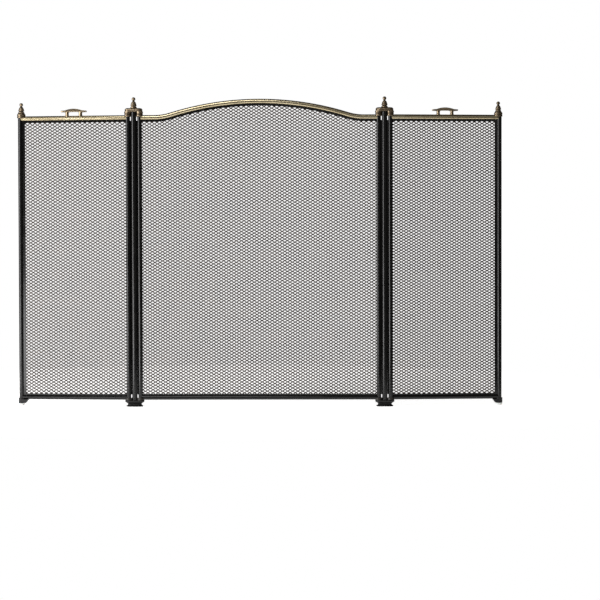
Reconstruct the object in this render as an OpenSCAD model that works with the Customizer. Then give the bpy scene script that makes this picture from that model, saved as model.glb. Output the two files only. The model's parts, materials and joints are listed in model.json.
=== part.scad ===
// Folding fireplace screen: an arched centre panel between two straight side panels.
// Round tube frames hold expanded metal in slotted channels. Each side panel hangs on a double-pivot
// hinge, a post between a cast cap and a cast foot, so that it folds flat to either face.
// +X runs along the screen, +Z is up and the front faces -Y. The origin is on the floor, in the middle.

/* [Screen] */
// Width of the whole screen with its panels opened flat
overall_w = 950; // [860:5:1200]
// Height of the crown of the arch above the floor
screen_h = 600; // [480:5:760]
// Width of the centre panel across its two uprights
centre_w = 475; // [380:5:600]
// Rise of the arch above the shoulders and the side rails
arch_rise = 31; // [16:1:50]
// Straight length of rail from a centre upright's axis to the foot of the arch
shoulder_flat = 28; // [18:1:50]
// Radius of the hollow curve between a shoulder and the arch
shoulder_r = 112; // [70:2:160]
// Gap between the floor and the underside of the bottom rails
floor_gap = 13; // [10.5:0.5:25]
// Angle that each side panel stands folded back
fold = 5; // [0:1:40]

/* [Frame tubes] */
// Diameter of the uprights and the bottom rails
tube_d = 9; // [7.5:0.5:12]
// Diameter of the brass top rails
top_rail_d = 9.4; // [8:0.2:12]
// Wall of every tube
tube_wall = 1; // [0.8:0.1:1.6]

/* [Mesh] */
// Thickness of the mesh sheets
mesh_t = 1.2; // [0.8:0.1:2]
// Depth that a mesh sheet sits in its channels
mesh_bite = 1; // [0.6:0.1:1.2]
// Thickness of the channels from front to back
channel_t = 3.4; // [2.6:0.2:6]
// Face of the channel beside an outer upright
outer_channel_w = 4.6; // [2:0.2:8]
// Face of the channel under a top rail
top_channel_w = 3.6; // [2:0.2:8]
// Face of the channel over a bottom rail
bottom_channel_w = 2.4; // [2:0.2:8]

/* [Hinges] */
// Diameter of the hinge post
post_d = 10.6; // [8:0.2:14]
// Bore down the middle of the hinge post
post_bore_d = 4; // [3:0.5:5]
// Gap between the hinge post and the upright on either side
hinge_clear = 1.7; // [1:0.1:4]
// Thickness of the flat strip behind a hinge post, which closes the gaps beside it
guard_t = 1.4; // [0.8:0.2:2]
// Diameter of the pivot pins
pin_d = 4; // [3:0.5:5]
// Length of a pivot pin inside its upright
pin_reach = 11; // [8:1:20]
// Length of a pivot pin that is fixed in its casting
pin_root = 3.5; // [2.5:0.5:3.5]
// Length of the bushes in the ends of the uprights
bush_l = 14; // [8:1:24]
// Thickness of the washers that the uprights turn on
washer_t = 1; // [0.6:0.2:2]
// Wall of the cups around the ends of the uprights
cup_wall = 2.1; // [1.6:0.1:4]

/* [Caps] */
// Depth of a cap from front to back
cap_depth = 17; // [15:0.5:24]
// Reach of a cap's plate past the pivot axes
cap_edge = 6; // [4:0.5:9]
// Thickness of a cap's plate
cap_plate_t = 8; // [6:0.5:12]
// Height of a cap's plate above the rails
cap_lift = 6; // [4:0.5:12]
// Depth of a cap's cups below the top of the rails
cap_drop = 3; // [1:0.5:4]
// Rounding of the plate's top edge
cap_round = 3; // [1:0.5:5]

/* [Feet] */
// Radius of a hinge foot's round ends at the floor
foot_base_r = 8.8; // [6:0.2:14]
// Radius of its round ends at the waist
foot_waist_r = 5.4; // [4:0.2:9]
// Radius of its round ends at the cup
foot_cup_r = 10.8; // [9:0.2:14]
// Distance from a pivot axis in to the centre of the foot's round end
foot_inset = 3.5; // [2:0.5:5]
// Height of the foot's sleeves above the underside of the bottom rails
sleeve_h = 4; // [2:0.5:6]
// Height of the glides under the outer corner shoes
glide_h = 5.5; // [3:0.5:8]
// Radius of a glide where it meets the floor
glide_r = 4.8; // [3.5:0.1:6]
// Length of a corner shoe's toe, from the upright's axis
toe_l = 13.4; // [10:0.2:24]

/* [Finials] */
// Height of the finials over the hinges
hinge_finial_h = 20.8; // [16:0.2:30]
// Diameter of the finials over the hinges
hinge_finial_d = 12.2; // [9:0.2:15]
// Height of the finials at the outer corners
end_finial_h = 19.6; // [15:0.2:28]
// Diameter of the finials at the outer corners
end_finial_d = 11.8; // [9:0.2:15]
// Diameter of the collars under the outer finials
collar_d = 16.6; // [14.6:0.2:22]
// Distance that a collar stands inward from its upright's axis
collar_offset = 2.2; // [0:0.2:3]
// Height of a collar above the rails
collar_rise = 6.4; // [5.6:0.2:12]
// Depth of a collar below the top of the rails
collar_drop = 3.4; // [2:0.2:6]

/* [Handles] */
// Length of a handle bar
bar_l = 51; // [44:1:90]
// Depth of a handle bar from front to back
bar_depth = 8; // [8:0.5:14]
// Thickness of a handle bar
bar_t = 3.6; // [3:0.2:6]
// Rise of the bar's crown above its wings
bar_crown = 3.2; // [1:0.2:8]
// Gap between the top rail and the wings of the bar
finger_gap = 6.8; // [6:0.2:20]
// Distance between the axes of the two handle posts
grip_span = 26.8; // [22:0.4:40]
// Diameter of the handle posts
grip_post_d = 7.4; // [5.5:0.2:8]

/* [Fits] */
// Radial clearance of a pin that turns in its bush
running_fit = 0.05; // [0.02:0.01:0.1]
// Clearance of parts that are pressed or screwed together
fixed_fit = 0.02; // [0.01:0.01:0.1]
// Radial gap between an upright and the cup that it turns in
cup_fit = 0.4; // [0.3:0.05:0.8]
// Gap between castings and the rails that swing past them
swing_gap = 0.5; // [0.3:0.1:1]

/* [Hidden] */
$fn = 64;

LEFT = -1;
RIGHT = 1;
IRON = [0.05, 0.05, 0.055];
BRASS = [0.62, 0.55, 0.42];
BRONZE = [0.30, 0.25, 0.18];
STEEL = [0.6, 0.6, 0.62];
BUSH = [0.78, 0.76, 0.70];
PALE = [0.85, 0.85, 0.83];

tube_r = tube_d / 2;
rail_r = top_rail_d / 2;
post_r = post_d / 2;
pin_r = pin_d / 2;
cup_bore_r = tube_r + cup_fit;
cup_r = cup_bore_r + cup_wall;
swing_r = cup_r + swing_gap;
weld_r = tube_r + fixed_fit;
slot_w = mesh_t + 0.2;

// Upright axes: the centre panel's, the hinge posts' and the side panels' inner ones
pivot_gap = tube_d + post_d + 2 * hinge_clear;
centre_x = centre_w / 2 - tube_r;
hinge_x = centre_x + pivot_gap / 2;
wing_x = centre_x + pivot_gap;
side_span = overall_w / 2 - tube_r - wing_x;

// The strip behind a hinge post laps each neighbouring upright by 1
guard_w = pivot_gap - tube_d + 2;
guard_bite = 0.6;

// Heights
rail_top = screen_h - arch_rise;
rail_z = rail_top - rail_r;
bottom_rail_z = floor_gap + tube_r;
bottom_rail_top = floor_gap + tube_d;
guard_low = bottom_rail_top + 1;
guard_top = rail_z - rail_r - 1;
foot_top = floor_gap - swing_gap;
foot_floor = foot_top - 2.5;
sleeve_top = floor_gap + sleeve_h;
cap_z = rail_top + cap_lift;
cap_top = cap_z + cap_plate_t;
cup_rim = rail_top - cap_drop;
cup_roof = cap_z - 0.5;
upright_foot = foot_floor + washer_t;
upright_top = cup_roof - 1.5;
shoe_rim = floor_gap + 2.5;
shoe_floor = glide_h;
outer_foot = shoe_floor + 2.5;
outer_top = rail_top + 2;

// The arch: two tangent arcs that climb arch_rise between the shoulder and the crown
arch_end = centre_x - shoulder_flat;
arch_angle = 2 * atan(arch_rise / arch_end);
arch_r = arch_end / sin(arch_angle) - shoulder_r;
arch_cz = rail_z + arch_rise - arch_r;
shoulder_cz = rail_z + shoulder_r;

// The rail's axis along the arch from right to left: x, z and the two parts of its upward normal
curve_steps = 6;
crown_steps = 24;
rail_sides = 20;
arch_path = concat(
    [for (i = [0 : curve_steps]) let (a = -90 - arch_angle * i / curve_steps)
        [arch_end + shoulder_r * cos(a), shoulder_cz + shoulder_r * sin(a), -cos(a), -sin(a)]],
    [for (i = [1 : crown_steps]) let (a = 90 - arch_angle + 2 * arch_angle * i / crown_steps)
        [arch_r * cos(a), arch_cz + arch_r * sin(a), cos(a), sin(a)]],
    [for (i = [1 : curve_steps]) let (a = -90 + arch_angle - arch_angle * i / curve_steps)
        [-arch_end + shoulder_r * cos(a), shoulder_cz + shoulder_r * sin(a), -cos(a), -sin(a)]]
);

// Middle of the screen's depth, so that the origin is under the middle of its box
back_reach = (side_span - collar_offset) * sin(fold) + collar_d / 2;
screen_y = (foot_cup_r - back_reach) / 2;

// Points of an arc about a centre, from one angle to another
function arc(centre, r, from, to, steps) =
    [for (i = [0 : steps]) let (a = from + (to - from) * i / steps) centre + r * [cos(a), sin(a)]];

// Upper edge of the centre panel at a distance below the rail's axis, from right to left
function arch_edge(drop, reach) = concat(
    [[reach, rail_z - drop]], [for (p = arch_path) [p[0] - drop * p[2], p[1] - drop * p[3]]],
    [[-reach, rail_z - drop]]
);

// Places what is drawn about the origin on the centre panel
module on_centre() translate([0, screen_y, 0]) children();

// Places what is drawn about the origin on one hinge
module on_hinge(side) translate([side * hinge_x, screen_y, 0]) children();

// Places a side panel drawn from its inner upright outwards along +X
module on_wing(side) translate([side * wing_x, screen_y, 0]) rotate([0, 0, side * fold]) {
    if (side == LEFT) mirror([1, 0, 0]) children();
    else children();
}

// Repeats a shape at the two pivot axes of a hinge
module at_pivots() for (side = [LEFT, RIGHT]) translate([side * pivot_gap / 2, 0, 0]) children();

// Upright hollow bar from one height to another
module tube(r, bottom, top) translate([0, 0, bottom]) difference() {
    cylinder(r = r, h = top - bottom);
    translate([0, 0, -1]) cylinder(r = r - tube_wall, h = top - bottom + 2);
}

// Round bar along X
module bar_x(r, from, to) translate([from, 0, 0]) rotate([0, 90, 0]) cylinder(r = r, h = to - from);

// Revolved profile drawn out to an oblong along X: round ends and straight flanks
module oblong(half_l, outline) {
    for (turn = [0, 180]) rotate([0, 0, turn]) translate([half_l, 0, 0])
        rotate([0, 0, -90]) rotate_extrude(angle = 180) polygon(outline);
    mirrored = [for (i = [len(outline) - 1 : -1 : 0]) [-outline[i][0], outline[i][1]]];
    rotate([90, 0, 90]) translate([0, 0, -half_l]) linear_extrude(2 * half_l) {
        polygon(outline);
        polygon(mirrored);
    }
}

// ---------------------------------------------------------------- frame members

module upright(bottom, top) color(IRON) tube(tube_r, bottom, top);

// Straight rail between two upright axes, saddled onto both; a swing end clears the hinge castings
module straight_rail(r, z, length, clear_from, clear_to, tint, inner_swing, outer_swing)
    color(tint) difference() {
        translate([0, 0, z]) bar_x(r, tube_r / 2, length - tube_r / 2);
        translate([0, 0, z]) bar_x(r - tube_wall, -1, length + 1);
        for (x = [0, length]) translate([x, 0, z - tube_d]) cylinder(r = weld_r, h = 2 * tube_d);
        if (inner_swing) translate([0, 0, clear_from]) cylinder(r = swing_r, h = clear_to - clear_from);
        if (outer_swing) translate([length, 0, clear_from])
            cylinder(r = swing_r, h = clear_to - clear_from);
    }

// The whole rail's path, its straight ends reaching into both uprights
rail_path = concat(
    [[centre_x - tube_r / 2, rail_z, 0, 1]], arch_path, [[-centre_x + tube_r / 2, rail_z, 0, 1]]
);

// Points of the rail's section at a radius; the first coordinate is up, away from the arch's centre
function rail_loop(r) = [for (i = [0 : rail_sides - 1]) let (a = 360 * i / rail_sides) r * [cos(a), sin(a)]];

// Bent tube along the rail's path
module bent_tube() {
    loops = [rail_loop(rail_r), rail_loop(rail_r - tube_wall)];
    last = len(rail_path) - 1;
    points = [for (p = rail_path, loop = loops, q = loop) [p[0] + q[0] * p[2], q[1], p[1] + q[0] * p[3]]];
    // Number of a point: ring k, outer loop 0 or inner loop 1, corner j
    function at(k, loop, j) = (2 * k + loop) * rail_sides + j % rail_sides;
    polyhedron(points, concat(
        [for (k = [0 : last - 1], j = [0 : rail_sides - 1])
            [at(k, 0, j), at(k, 0, j + 1), at(k + 1, 0, j + 1), at(k + 1, 0, j)]],
        [for (k = [0 : last - 1], j = [0 : rail_sides - 1])
            [at(k, 1, j), at(k + 1, 1, j), at(k + 1, 1, j + 1), at(k, 1, j + 1)]],
        [for (j = [0 : rail_sides - 1]) [at(0, 0, j), at(0, 1, j), at(0, 1, j + 1), at(0, 0, j + 1)]],
        [for (j = [0 : rail_sides - 1])
            [at(last, 0, j), at(last, 0, j + 1), at(last, 1, j + 1), at(last, 1, j)]]
    ));
}

module arched_rail() color(BRASS) difference() {
    bent_tube();
    for (side = [LEFT, RIGHT]) translate([side * centre_x, 0, 0]) {
        translate([0, 0, rail_z - tube_d]) cylinder(r = weld_r, h = 2 * tube_d);
        translate([0, 0, cup_rim - swing_gap]) cylinder(r = swing_r, h = 2 * tube_d);
    }
}

// Band under the arch between two distances below the rail's axis
module arch_band(upper, lower, reach, thickness) {
    under = arch_edge(lower, reach);
    rotate([90, 0, 0]) linear_extrude(thickness, center = true)
        polygon(concat(arch_edge(upper, reach), [for (i = [len(under) - 1 : -1 : 0]) under[i]]));
}

// Section of a channel: its slot opens towards -x, where the mesh enters
module channel_section(width) difference() {
    translate([-width / 2, -channel_t / 2]) square([width, channel_t]);
    translate([-width / 2 - 1, -slot_w / 2]) square([mesh_bite + fixed_fit + 1, slot_w]);
}

// Upright channel from one height to another, its slot towards -x
module upright_channel(width, bottom, top)
    color(IRON) translate([0, 0, bottom]) linear_extrude(top - bottom) channel_section(width);

// Level channel from one x to another, its slot up
module bottom_channel(from, to) color(IRON)
    translate([to, 0, bottom_rail_top + fixed_fit + bottom_channel_w / 2]) rotate([0, -90, 0])
    linear_extrude(to - from) mirror([1, 0]) channel_section(bottom_channel_w);

// ---------------------------------------------------------------- centre panel

channel_foot = bottom_rail_top + fixed_fit;
channel_head = rail_top - top_rail_d - fixed_fit;
centre_inner_x = centre_x - weld_r;
top_channel_head = rail_r + fixed_fit;
top_channel_drop = top_channel_head + top_channel_w / 2;

module centre_upright(side) on_centre() translate([side * centre_x, 0, 0])
    upright(upright_foot, upright_top);
module centre_left_upright() centre_upright(LEFT);
module centre_right_upright() centre_upright(RIGHT);
module centre_top_rail() on_centre() arched_rail();
module centre_bottom_rail() on_centre() translate([-centre_x, 0, 0])
    straight_rail(tube_r, bottom_rail_z, 2 * centre_x, 0, sleeve_top + swing_gap, IRON, true, true);

module centre_top_channel() color(IRON) on_centre() difference() {
    arch_band(top_channel_head, top_channel_head + top_channel_w, centre_inner_x - fixed_fit, channel_t);
    arch_band(top_channel_head + top_channel_w - mesh_bite - fixed_fit, top_channel_head + top_channel_w + 1,
        centre_inner_x + 1, slot_w);
}
module centre_bottom_channel() on_centre()
    bottom_channel(-centre_inner_x + fixed_fit, centre_inner_x - fixed_fit);

module centre_mesh() color(IRON) on_centre() {
    drop = top_channel_head + top_channel_w - mesh_bite;
    foot = channel_foot + bottom_channel_w - mesh_bite;
    rotate([90, 0, 0]) linear_extrude(mesh_t, center = true)
        polygon(concat(arch_edge(drop, centre_inner_x), [[-centre_inner_x, foot], [centre_inner_x, foot]]));
}

// ---------------------------------------------------------------- bushes, pins and washers

// The two bushes of one upright
module bush_pair() color(BUSH) for (bottom = [upright_foot, upright_top - bush_l])
    translate([0, 0, bottom]) difference() {
        cylinder(r = tube_r - tube_wall - fixed_fit, h = bush_l);
        translate([0, 0, -1]) cylinder(r = pin_r + running_fit, h = bush_l + 2);
    }
module centre_bushes() on_centre()
    for (side = [LEFT, RIGHT]) translate([side * centre_x, 0, 0]) bush_pair();

// Four pins: two stand in the foot and two hang from the cap
module hinge_pins(side) on_hinge(side) color(STEEL) at_pivots() {
    translate([0, 0, foot_floor - pin_root]) cylinder(r = pin_r, h = pin_root + washer_t + pin_reach);
    translate([0, 0, upright_top - pin_reach])
        cylinder(r = pin_r, h = pin_reach + cup_roof - upright_top + pin_root);
}
module left_hinge_pins() hinge_pins(LEFT);
module right_hinge_pins() hinge_pins(RIGHT);

module hinge_washers(side) on_hinge(side) color(BUSH) at_pivots()
    translate([0, 0, foot_floor]) difference() {
        cylinder(r = tube_r, h = washer_t);
        translate([0, 0, -1]) cylinder(r = pin_r + 0.15, h = washer_t + 2);
    }
module left_hinge_washers() hinge_washers(LEFT);
module right_hinge_washers() hinge_washers(RIGHT);

// ---------------------------------------------------------------- hinge castings

stud_reach = 10;
stud_r = post_bore_d / 2 - fixed_fit;
seat_r = post_r + fixed_fit;
screw_head_r = 3.5;
screw_head_h = 2.4;
screw_recess = 3.4;

module hinge_post(side) on_hinge(side) color(IRON) difference() {
    union() {
        translate([0, 0, foot_floor]) cylinder(r = post_r, h = cap_z - foot_floor);
        translate([-guard_w / 2, post_r - guard_bite, guard_low])
            cube([guard_w, guard_bite + guard_t, guard_top - guard_low]);
    }
    translate([0, 0, foot_floor - 1]) cylinder(r = post_bore_d / 2, h = cap_z - foot_floor + 2);
}
module left_hinge_post() hinge_post(LEFT);
module right_hinge_post() hinge_post(RIGHT);

// Cap: a rounded plate over two cups, bored for the uprights, their pins, the post and the stud
module hinge_cap(side) {
    plate_r = cap_depth / 2;
    half_l = pivot_gap / 2 + cap_edge - plate_r;
    groove = 0.6;
    plate = concat(
        [[0, cap_z], [plate_r - groove, cap_z], [plate_r, cap_z + groove]],
        arc([plate_r - cap_round, cap_top - cap_round], cap_round, 0, 90, 6),
        [[0, cap_top]]
    );
    on_hinge(side) color(BRONZE) difference() {
        union() {
            oblong(half_l, plate);
            at_pivots() translate([0, 0, cup_rim]) cylinder(r = cup_r, h = cap_z - cup_rim + 1);
        }
        at_pivots() {
            translate([0, 0, cup_rim - 1]) cylinder(r = cup_bore_r, h = cup_roof - cup_rim + 1);
            cylinder(r = pin_r + fixed_fit, h = cup_roof + pin_root + 1);
        }
        cylinder(r = seat_r, h = cap_z);
        cylinder(r = post_bore_d / 2 + fixed_fit, h = cap_top + 1);
    }
}
module left_hinge_cap() hinge_cap(LEFT);
module right_hinge_cap() hinge_cap(RIGHT);

// Foot: a waisted oblong casting with sleeves around the ends of the uprights
module hinge_foot(side) {
    half_l = pivot_gap / 2 - foot_inset;
    waist_z = foot_top - 7.6;
    base_h = 1.4;
    outline = [
        [0, 0], [foot_base_r - 0.3, 0], [foot_base_r, 0.3], [foot_base_r, base_h],
        [foot_waist_r + 1, (base_h + waist_z) / 2 + 0.4], [foot_waist_r, waist_z],
        [foot_waist_r + 0.4, waist_z + 0.8], [foot_cup_r - 1.6, foot_top - 4.4],
        [foot_cup_r - 0.4, foot_top - 3], [foot_cup_r, foot_top - 1.8],
        [foot_cup_r, foot_top - 0.5], [foot_cup_r - 0.5, foot_top], [0, foot_top],
    ];
    on_hinge(side) color(IRON) difference() {
        union() {
            oblong(half_l, outline);
            at_pivots() translate([0, 0, foot_floor]) cylinder(r = cup_r, h = sleeve_top - foot_floor);
        }
        at_pivots() {
            translate([0, 0, foot_floor]) cylinder(r = cup_bore_r, h = sleeve_top);
            translate([0, 0, foot_floor - pin_root]) cylinder(r = pin_r + fixed_fit, h = sleeve_top);
        }
        translate([0, 0, foot_floor]) cylinder(r = seat_r, h = sleeve_top);
        translate([0, 0, -1]) cylinder(r = post_bore_d / 2 + fixed_fit, h = foot_top + 2);
        translate([0, 0, -1]) cylinder(r = screw_head_r + 0.1, h = screw_recess + 1);
    }
}
module left_hinge_foot() hinge_foot(LEFT);
module right_hinge_foot() hinge_foot(RIGHT);

// Pan-headed screw up through the foot into the post
module hinge_screw(side) on_hinge(side) color(STEEL) {
    socket_r = 1.6;
    socket_h = 1.4;
    difference() {
        union() {
            translate([0, 0, screw_recess - screw_head_h]) cylinder(r = screw_head_r, h = screw_head_h);
            translate([0, 0, screw_recess])
                cylinder(r = stud_r, h = foot_floor + stud_reach - screw_recess);
        }
        cylinder(r = socket_r, h = screw_recess - screw_head_h + socket_h, $fn = 6);
    }
}
module left_hinge_screw() hinge_screw(LEFT);
module right_hinge_screw() hinge_screw(RIGHT);

// ---------------------------------------------------------------- finials

// Turned finial on its stud: base ring, groove, acorn body with two beads, neck and ball
module finial(r, height, bore_r, stud_l) {
    ball_r = 0.58 * r;
    neck_z = height - 2 * ball_r * 0.93;
    body_z = 3.9;
    body_top = neck_z - 0.9;
    lift = body_top - body_z;
    bead = [for (i = [0 : 1]) let (
            z = body_z + lift * (0.18 + 0.34 * i),
            x = r * (0.9 - 0.2 * i)
        ) [[x - 0.35, z - 0.5], [x + 0.1, z], [x - 0.5, z + 0.6]]];
    outline = concat(
        [[0, 0], [r - 0.3, 0], [r, 0.5], [r, 1.6], [r - 0.4, 2.2], [r - 1.1, 2.6], [r - 1.1, 3]],
        [[r - 0.2, body_z - 0.3], [r, body_z + 0.3]],
        bead[0], bead[1],
        [[0.5 * r, body_top], [0.33 * r, neck_z - 0.3], [0.33 * r, neck_z]],
        arc([0, height - ball_r], ball_r, -55, 90, 12)
    );
    rotate_extrude() polygon(outline);
    translate([0, 0, -stud_l]) cylinder(r = bore_r, h = stud_l + 1);
}
module hinge_finial(side) on_hinge(side) color(BRONZE) translate([0, 0, cap_top])
    finial(hinge_finial_d / 2, hinge_finial_h, stud_r, cap_plate_t + stud_reach);
module left_hinge_finial() hinge_finial(LEFT);
module right_hinge_finial() hinge_finial(RIGHT);

// ---------------------------------------------------------------- side panels

outer_channel_x = side_span - weld_r - outer_channel_w / 2;
outer_clear_x = side_span - weld_r - outer_channel_w;

module inner_upright(side) on_wing(side) upright(upright_foot, upright_top);
module left_inner_upright() inner_upright(LEFT);
module right_inner_upright() inner_upright(RIGHT);

module outer_upright(side) on_wing(side) translate([side_span, 0, 0]) upright(outer_foot, outer_top);
module left_outer_upright() outer_upright(LEFT);
module right_outer_upright() outer_upright(RIGHT);

module side_top_rail(side) on_wing(side) difference() {
    straight_rail(rail_r, rail_z, side_span, cup_rim - swing_gap, rail_top + 1, BRASS, true, false);
    at_grips() translate([0, 0, rail_z]) cylinder(r = spigot_r + fixed_fit, h = top_rail_d);
}
module left_top_rail() side_top_rail(LEFT);
module right_top_rail() side_top_rail(RIGHT);

module side_bottom_rail(side) on_wing(side)
    straight_rail(tube_r, bottom_rail_z, side_span, 0, sleeve_top + swing_gap, IRON, true, false);
module left_bottom_rail() side_bottom_rail(LEFT);
module right_bottom_rail() side_bottom_rail(RIGHT);

module outer_channel(side) on_wing(side) translate([outer_channel_x, 0, 0])
    upright_channel(outer_channel_w, channel_foot, channel_head);
module left_outer_channel() outer_channel(LEFT);
module right_outer_channel() outer_channel(RIGHT);

module side_top_channel(side) color(IRON) on_wing(side)
    translate([outer_clear_x - fixed_fit, 0, rail_z - top_channel_drop]) rotate([0, -90, 0])
    linear_extrude(outer_clear_x - weld_r - 2 * fixed_fit) channel_section(top_channel_w);
module left_top_channel() side_top_channel(LEFT);
module right_top_channel() side_top_channel(RIGHT);

module side_bottom_channel(side) on_wing(side)
    bottom_channel(weld_r + fixed_fit, outer_clear_x - fixed_fit);
module left_bottom_channel() side_bottom_channel(LEFT);
module right_bottom_channel() side_bottom_channel(RIGHT);

module side_mesh(side) color(IRON) on_wing(side) {
    foot = channel_foot + bottom_channel_w - mesh_bite;
    head = channel_head - top_channel_w + mesh_bite;
    translate([weld_r, -mesh_t / 2, foot])
        cube([outer_clear_x - weld_r + mesh_bite, mesh_t, head - foot]);
}
module left_mesh() side_mesh(LEFT);
module right_mesh() side_mesh(RIGHT);

module left_bushes() on_wing(LEFT) bush_pair();
module right_bushes() on_wing(RIGHT) bush_pair();

// ---------------------------------------------------------------- outer corners

// Collar: a turned cap over the upright's end, saddled on the rail and tapped for the finial
module end_collar(side) {
    r = collar_d / 2;
    low = rail_top - collar_drop;
    top = rail_top + collar_rise;
    seat = end_finial_d / 2 + 0.4;
    outline = [
        [0, low], [r - 0.6, low], [r, low + 0.6], [r, rail_top + 3.4], [r - 0.5, rail_top + 4.2],
        [seat + 0.7, top - 1.1], [seat, top - 0.4], [seat, top], [0, top],
    ];
    on_wing(side) color(BRONZE) difference() {
        translate([side_span - collar_offset, 0, 0]) rotate_extrude() polygon(outline);
        translate([side_span, 0, low - 1])
            cylinder(r = tube_r + fixed_fit, h = outer_top + fixed_fit - low + 1);
        translate([0, 0, rail_z]) bar_x(rail_r + fixed_fit, side_span - 2 * collar_d, side_span);
        translate([side_span - collar_offset, 0, top - collar_stud_l])
            cylinder(r = collar_stud_r + fixed_fit, h = collar_stud_l + 1);
    }
}
collar_stud_l = 3.2;
collar_stud_r = 2;
module left_end_collar() end_collar(LEFT);
module right_end_collar() end_collar(RIGHT);

module end_finial(side) on_wing(side) color(BRONZE)
    translate([side_span - collar_offset, 0, rail_top + collar_rise])
    finial(end_finial_d / 2, end_finial_h, collar_stud_r, collar_stud_l);
module left_end_finial() end_finial(LEFT);
module right_end_finial() end_finial(RIGHT);

glide_stem_r = tube_r - tube_wall - fixed_fit;

// Corner shoe: a cup around the upright's foot with a tapered toe under the rail
module end_shoe(side) {
    shoe_r = tube_r + 1.7;
    toe_tip = toe_l - 5.6;
    toe_top = floor_gap - fixed_fit;
    on_wing(side) color(IRON) difference() {
        union() {
            translate([side_span, 0, shoe_floor]) cylinder(r = shoe_r, h = shoe_rim - shoe_floor);
            translate([side_span, shoe_r, 0]) rotate([90, 0, 0]) linear_extrude(2 * shoe_r)
                polygon([[0, shoe_floor], [-toe_tip, shoe_floor], [-toe_l, toe_top], [0, toe_top]]);
        }
        translate([side_span, 0, outer_foot]) cylinder(r = tube_r + fixed_fit, h = shoe_rim);
        translate([side_span, 0, 0]) cylinder(r = glide_stem_r + fixed_fit, h = shoe_rim);
        translate([0, 0, bottom_rail_z]) bar_x(weld_r, side_span - 2 * toe_l, side_span);
    }
}
module left_end_shoe() end_shoe(LEFT);
module right_end_shoe() end_shoe(RIGHT);

// Glide: a plastic button on a stem that is pushed up into the upright
module end_glide(side) on_wing(side) color(PALE) translate([side_span, 0, 0]) {
    rotate_extrude() polygon([
        [0, 0], [glide_r - 0.8, 0], [glide_r, 0.8], [glide_r + 0.6, shoe_floor - 0.5],
        [glide_r + 0.4, shoe_floor], [0, shoe_floor],
    ]);
    cylinder(r = glide_stem_r, h = outer_foot + 8);
}
module left_end_glide() end_glide(LEFT);
module right_end_glide() end_glide(RIGHT);

// ---------------------------------------------------------------- carry handles

spigot_r = 2;
spigot_up = 2;
wing_z = rail_top + finger_gap;
grip_seat = 1;

module at_grips() for (step = [-1, 1]) translate([side_span / 2 + step * grip_span / 2, 0, 0])
    children();

// Handle bar: level wings and a crown that bows up between the two posts
module handle_bar(side) {
    half_l = bar_l / 2;
    bow_half = grip_span / 2 + grip_post_d / 2;
    bow_r = (bow_half * bow_half + bar_crown * bar_crown) / (2 * bar_crown);
    bow_angle = asin(bow_half / bow_r);
    gap_half = grip_span / 2 - grip_post_d / 2;
    gap_rise = bow_r - sqrt(bow_r * bow_r - gap_half * gap_half);
    tip = 1.2;
    arch_step = 2;
    upper = arc([0, wing_z + bar_t + bar_crown - bow_r], bow_r, 90 - bow_angle, 90 + bow_angle, 14);
    lower = arc([0, wing_z + gap_rise - bow_r + arch_step], bow_r, 90 + asin(gap_half / bow_r),
        90 - asin(gap_half / bow_r), 10);
    outline = concat(
        [[half_l - tip, wing_z], [half_l, wing_z + tip], [half_l, wing_z + bar_t - tip],
         [half_l - tip, wing_z + bar_t]],
        upper,
        [[-half_l + tip, wing_z + bar_t], [-half_l, wing_z + bar_t - tip], [-half_l, wing_z + tip],
         [-half_l + tip, wing_z], [-gap_half, wing_z]],
        lower,
        [[gap_half, wing_z]]
    );
    on_wing(side) color(BRASS) difference() {
        translate([side_span / 2, 0, 0]) rotate([90, 0, 0])
            linear_extrude(bar_depth, center = true) polygon(outline);
        at_grips() translate([0, 0, wing_z - 1]) cylinder(r = spigot_r + fixed_fit, h = 1 + spigot_up + 0.2);
    }
}
module left_handle_bar() handle_bar(LEFT);
module right_handle_bar() handle_bar(RIGHT);

// Two posts, each with a spigot into the rail below and one into the bar above
module handle_posts(side) on_wing(side) color(BRASS) at_grips() difference() {
    union() {
        translate([0, 0, rail_top - grip_seat - rail_r])
            cylinder(r = grip_post_d / 2, h = rail_r + grip_seat + finger_gap);
        translate([0, 0, rail_z + 1]) cylinder(r = spigot_r, h = wing_z - rail_z - 1 + spigot_up);
    }
    translate([0, 0, rail_z]) difference() {
        bar_x(rail_r + fixed_fit, -grip_post_d, grip_post_d);
        cylinder(r = spigot_r, h = 2 * rail_r);
    }
}
module left_handle_posts() handle_posts(LEFT);
module right_handle_posts() handle_posts(RIGHT);

// ---------------------------------------------------------------- assembly

centre_left_upright();
centre_right_upright();
centre_top_rail();
centre_bottom_rail();
centre_top_channel();
centre_bottom_channel();
centre_mesh();
centre_bushes();
left_hinge_post();
left_hinge_cap();
left_hinge_foot();
left_hinge_finial();
left_hinge_screw();
left_hinge_pins();
left_hinge_washers();
right_hinge_post();
right_hinge_cap();
right_hinge_foot();
right_hinge_finial();
right_hinge_screw();
right_hinge_pins();
right_hinge_washers();
left_inner_upright();
left_outer_upright();
left_top_rail();
left_bottom_rail();
left_outer_channel();
left_top_channel();
left_bottom_channel();
left_mesh();
left_bushes();
left_end_collar();
left_end_finial();
left_end_shoe();
left_end_glide();
left_handle_bar();
left_handle_posts();
right_inner_upright();
right_outer_upright();
right_top_rail();
right_bottom_rail();
right_outer_channel();
right_top_channel();
right_bottom_channel();
right_mesh();
right_bushes();
right_end_collar();
right_end_finial();
right_end_shoe();
right_end_glide();
right_handle_bar();
right_handle_posts();
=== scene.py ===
"""Looks of a folding fireplace screen: expanded metal, bent rail, castings, turned work, finishes.

The tubes, channels, shoes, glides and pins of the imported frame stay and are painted. The mesh
sheets, the arched rail, the castings, the turned finials and the carry handles are modelled here
at the frame's places. All lengths are metres.
"""

from __future__ import annotations

import json
import logging
import math
from dataclasses import dataclass, field
from enum import Enum
from typing import Any, Callable, Iterable, Sequence

import bpy
import numpy as np
from mathutils import Matrix, Vector

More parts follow.
